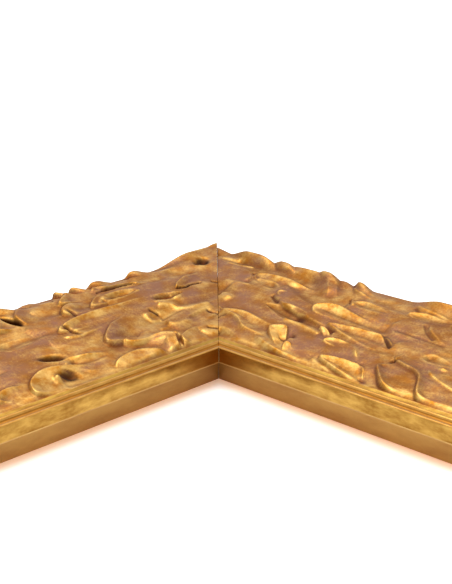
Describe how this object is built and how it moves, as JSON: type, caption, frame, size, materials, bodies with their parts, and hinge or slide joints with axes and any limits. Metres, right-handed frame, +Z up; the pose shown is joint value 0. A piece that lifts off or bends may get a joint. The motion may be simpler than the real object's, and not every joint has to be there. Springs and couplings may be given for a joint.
{
  "type": "picture frame corner moulding",
  "caption": "Mitred corner of a wide carved and gilded wooden picture frame moulding, with leaf carving, plain gilded sight edge and a rabbet behind it.",
  "frame": {"origin": "under the middle of the corner's bounding box, on the surface that its back lies on", "axes": "+Z up from the back to the carved face; the right rail runs along +X and the left rail along -Y, with the frame's opening between them"},
  "size_m": [0.192, 0.192, 0.035],
  "materials": {
    "gilded_wood": "carved wood, water gilt and rubbed with brown toning, satin, with a bronze painted lower edge and a bare back"
  },
  "bodies": {
    "root": {"rail_left": "gilded_wood", "rail_right": "gilded_wood"}
  },
  "joints": []
}
